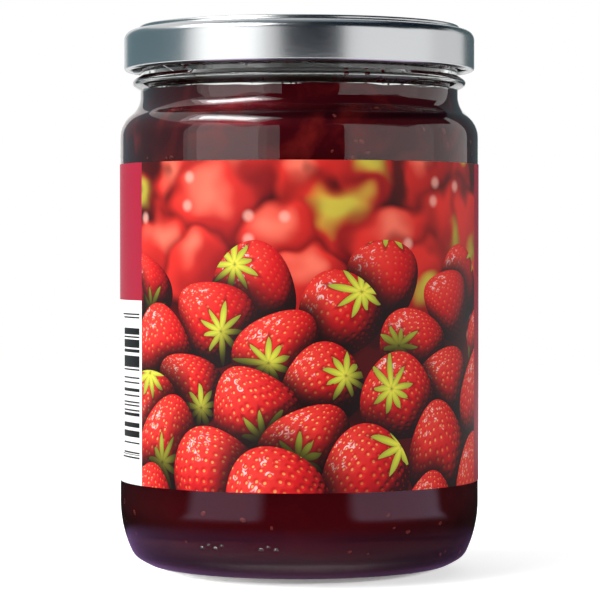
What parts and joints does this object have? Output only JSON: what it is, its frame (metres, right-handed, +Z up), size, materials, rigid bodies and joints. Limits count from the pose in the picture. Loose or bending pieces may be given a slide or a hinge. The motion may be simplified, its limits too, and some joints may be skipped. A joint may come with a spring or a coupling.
{
  "type": "jam jar",
  "caption": "Closed glass jar of dark red fruit jam with a twist-off metal lid, rounded heel and a wrap-around paper label printed with strawberries.",
  "frame": {"origin": "centre of the base, at the level the jar stands on", "axes": "+Z up along the jar's axis; -Y is the front, where the label's picture is; +X is to the right seen from the front"},
  "size_m": [0.0745, 0.0746, 0.1131],
  "materials": {
    "glass": "clear, smooth",
    "jam": "dark red jelly with fruit, wet",
    "tinplate": "satin lacquered tinplate",
    "paper": "coated paper, semi-gloss print"
  },
  "bodies": {
    "root": {"jar": "glass", "jam": "jam", "lid": "tinplate", "label": "paper"}
  },
  "joints": []
}
